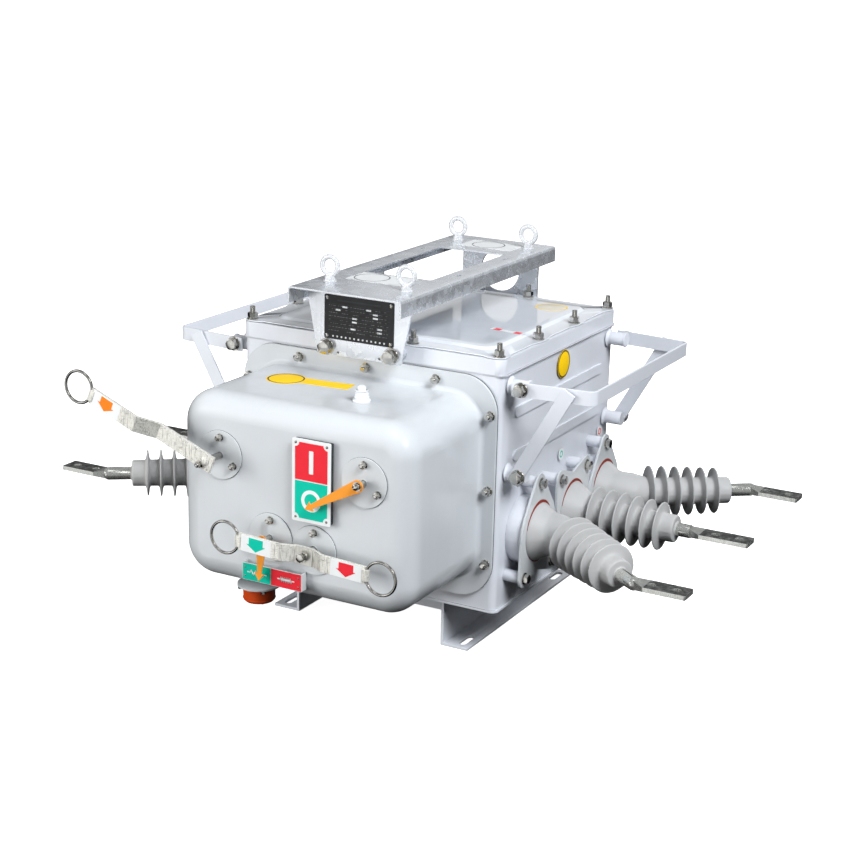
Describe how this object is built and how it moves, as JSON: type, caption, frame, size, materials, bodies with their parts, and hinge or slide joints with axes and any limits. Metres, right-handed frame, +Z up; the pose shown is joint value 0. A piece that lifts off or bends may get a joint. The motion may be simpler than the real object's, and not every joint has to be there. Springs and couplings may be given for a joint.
{
  "type": "outdoor vacuum circuit breaker",
  "caption": "Outdoor vacuum circuit breaker: sealed steel tank with a domed mechanism cover, fanned side bushings, bar guards, lifting frame and hook-stick handles.",
  "frame": {"origin": "centre of the four foot slots, on the plane the feet stand on", "axes": "+Z up; -Y towards the mechanism cover; +X towards the right-hand bushings seen from the front"},
  "size_m": [1.422, 0.9691, 0.768],
  "materials": {
    "housing_paint": "semi-gloss grey paint",
    "lid_paint": "gloss pale grey paint",
    "plate_paint": "semi-gloss grey paint",
    "sign_enamel": "white enamel",
    "backing_dark": "matt",
    "bright_steel": "polished stainless",
    "handle_steel": "worn galvanised",
    "pointer_orange": "satin orange paint",
    "galvanised": "hot-dip galvanised",
    "eye_zinc": "bright zinc",
    "nameplate_black": "satin black",
    "cap_orange": "satin",
    "vent_white": "translucent white",
    "silicone_grey": "smooth matt silicone",
    "tinned_copper": "tinned"
  },
  "bodies": {
    "breaker": {"tank_body": "housing_paint", "tank_rim": "housing_paint", "lid": "lid_paint", "left_foot": "housing_paint", "right_foot": "housing_paint", "cover_flange": "housing_paint", "mechanism_cover": "housing_paint", "bearing_plates": "plate_paint", "position_sign": "sign_enamel", "sign_backing": "backing_dark", "charge_sign": "sign_enamel", "socket_flange": "galvanised", "socket_cap": "cap_orange", "vent_plug": "vent_white", "top_frame": "galvanised", "front_hanger": "galvanised", "back_hanger": "galvanised", "nameplate": "nameplate_black", "eye_bolts": "eye_zinc", "left_guard_rail": "housing_paint", "right_guard_rail": "housing_paint", "left_guard_braces": "housing_paint", "right_guard_braces": "housing_paint", "left_guard_studs": "housing_paint", "right_guard_studs": "housing_paint", "left_turrets": "housing_paint", "right_turrets": "housing_paint", "left_flange_plates": "plate_paint", "right_flange_plates": "plate_paint", "left_insulators": "silicone_grey", "right_insulators": "silicone_grey", "left_terminals": "tinned_copper", "right_terminals": "tinned_copper"},
    "charging_lever": {"charging_shaft": "bright_steel", "charging_handle": "handle_steel", "charging_ring": "bright_steel"},
    "switch_lever": {"switch_shaft": "bright_steel", "switch_handle": "handle_steel", "switch_rings": "bright_steel"},
    "position_needle": {"position_shaft": "bright_steel", "position_pointer": "pointer_orange"},
    "charge_needle": {"gauge_shaft": "bright_steel", "gauge_pointer": "pointer_orange"}
  },
  "joints": [
    {"name": "charging_hinge", "type": "hinge", "parent": "breaker", "child": "charging_lever", "pos_m": [-0.155, -0.545, 0.421], "axis": [0, 1, 0], "range_deg": [-70, 0]},
    {"name": "switch_hinge", "type": "hinge", "parent": "breaker", "child": "switch_lever", "pos_m": [0.053, -0.545, 0.271], "axis": [0, 1, 0], "range_deg": [-30, 30]},
    {"name": "position_hinge", "type": "hinge", "parent": "breaker", "child": "position_needle", "pos_m": [0.158, -0.545, 0.421], "axis": [0, 1, 0], "range_deg": [0, 46]},
    {"name": "charge_hinge", "type": "hinge", "parent": "breaker", "child": "charge_needle", "pos_m": [-0.043, -0.545, 0.278], "axis": [0, 1, 0], "range_deg": [-43, 0]}
  ]
}
